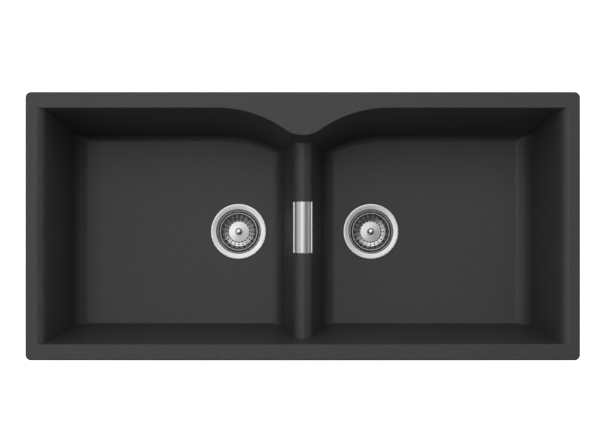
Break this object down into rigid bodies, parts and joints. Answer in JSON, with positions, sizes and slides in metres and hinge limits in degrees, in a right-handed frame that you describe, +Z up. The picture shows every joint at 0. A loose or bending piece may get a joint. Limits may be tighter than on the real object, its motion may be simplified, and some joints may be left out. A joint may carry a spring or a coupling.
{
  "type": "double bowl kitchen sink",
  "caption": "Inset moulded sink with two bowls, a low divider with an overflow cover, a tap ledge and basket strainer wastes joined to one outlet.",
  "frame": {"origin": "middle of the rim, on the plane of the worktop's top face, where the rim rests", "axes": "+X to the right along the rim, +Y to the back (the tap ledge), +Z up"},
  "size_m": [1, 0.484, 0.39],
  "materials": {
    "composite": "satin, fine grained",
    "zinc_steel": "plain steel",
    "brushed_steel": "brushed",
    "basket_steel": "bright",
    "seal_rubber": "matte",
    "foam_tape": "matte foam",
    "black_plastic": "satin",
    "white_plastic": "satin"
  },
  "bodies": {
    "sink": {"sink_basin": "composite", "clip_arms": "zinc_steel", "clip_screws": "zinc_steel", "overflow_saddle": "zinc_steel", "overflow_screws": "zinc_steel", "hose_clips": "zinc_steel", "left_fixing_bolt": "zinc_steel", "right_fixing_bolt": "zinc_steel", "left_flange": "brushed_steel", "right_flange": "brushed_steel", "overflow_gasket": "seal_rubber", "left_flange_seal": "seal_rubber", "right_flange_seal": "seal_rubber", "left_underside_gasket": "seal_rubber", "right_underside_gasket": "seal_rubber", "left_outlet_washer": "seal_rubber", "right_outlet_washer": "seal_rubber", "left_tee_seal": "seal_rubber", "right_tee_seal": "seal_rubber", "rim_seal_tape": "foam_tape", "clip_sockets": "black_plastic", "overflow_body": "black_plastic", "left_waste_body": "black_plastic", "right_waste_body": "black_plastic", "overflow_hose": "white_plastic", "drain_tee": "white_plastic", "left_outlet_nut": "white_plastic", "right_outlet_nut": "white_plastic", "left_drain_pipe": "white_plastic", "right_drain_pipe": "white_plastic", "left_tee_nut": "white_plastic", "right_tee_nut": "white_plastic"},
    "cover": {"overflow_cover": "brushed_steel"},
    "left_plug": {"left_basket_stem": "zinc_steel", "left_basket_spacer": "zinc_steel", "left_basket_seal": "seal_rubber", "left_basket_nut": "zinc_steel"},
    "left_strainer": {"left_basket": "basket_steel", "left_basket_knob": "basket_steel"},
    "right_plug": {"right_basket_stem": "zinc_steel", "right_basket_spacer": "zinc_steel", "right_basket_seal": "seal_rubber", "right_basket_nut": "zinc_steel"},
    "right_strainer": {"right_basket": "basket_steel", "right_basket_knob": "basket_steel"}
  },
  "joints": [
    {"name": "cover_lift", "type": "slide", "parent": "sink", "child": "cover", "axis": [0, 0, 1], "range_m": [0, 0.06]},
    {"name": "left_basket_lift", "type": "slide", "parent": "sink", "child": "left_plug", "axis": [0, 0, 1], "range_m": [0, 0.12]},
    {"name": "left_basket_turn", "type": "hinge", "parent": "left_plug", "child": "left_strainer", "pos_m": [-0.1272, -0.0031, -0.2], "axis": [0, 0, 1], "continuous": true},
    {"name": "right_basket_lift", "type": "slide", "parent": "sink", "child": "right_plug", "axis": [0, 0, 1], "range_m": [0, 0.12]},
    {"name": "right_basket_turn", "type": "hinge", "parent": "right_plug", "child": "right_strainer", "pos_m": [0.1352, -0.0031, -0.2], "axis": [0, 0, 1], "continuous": true}
  ]
}
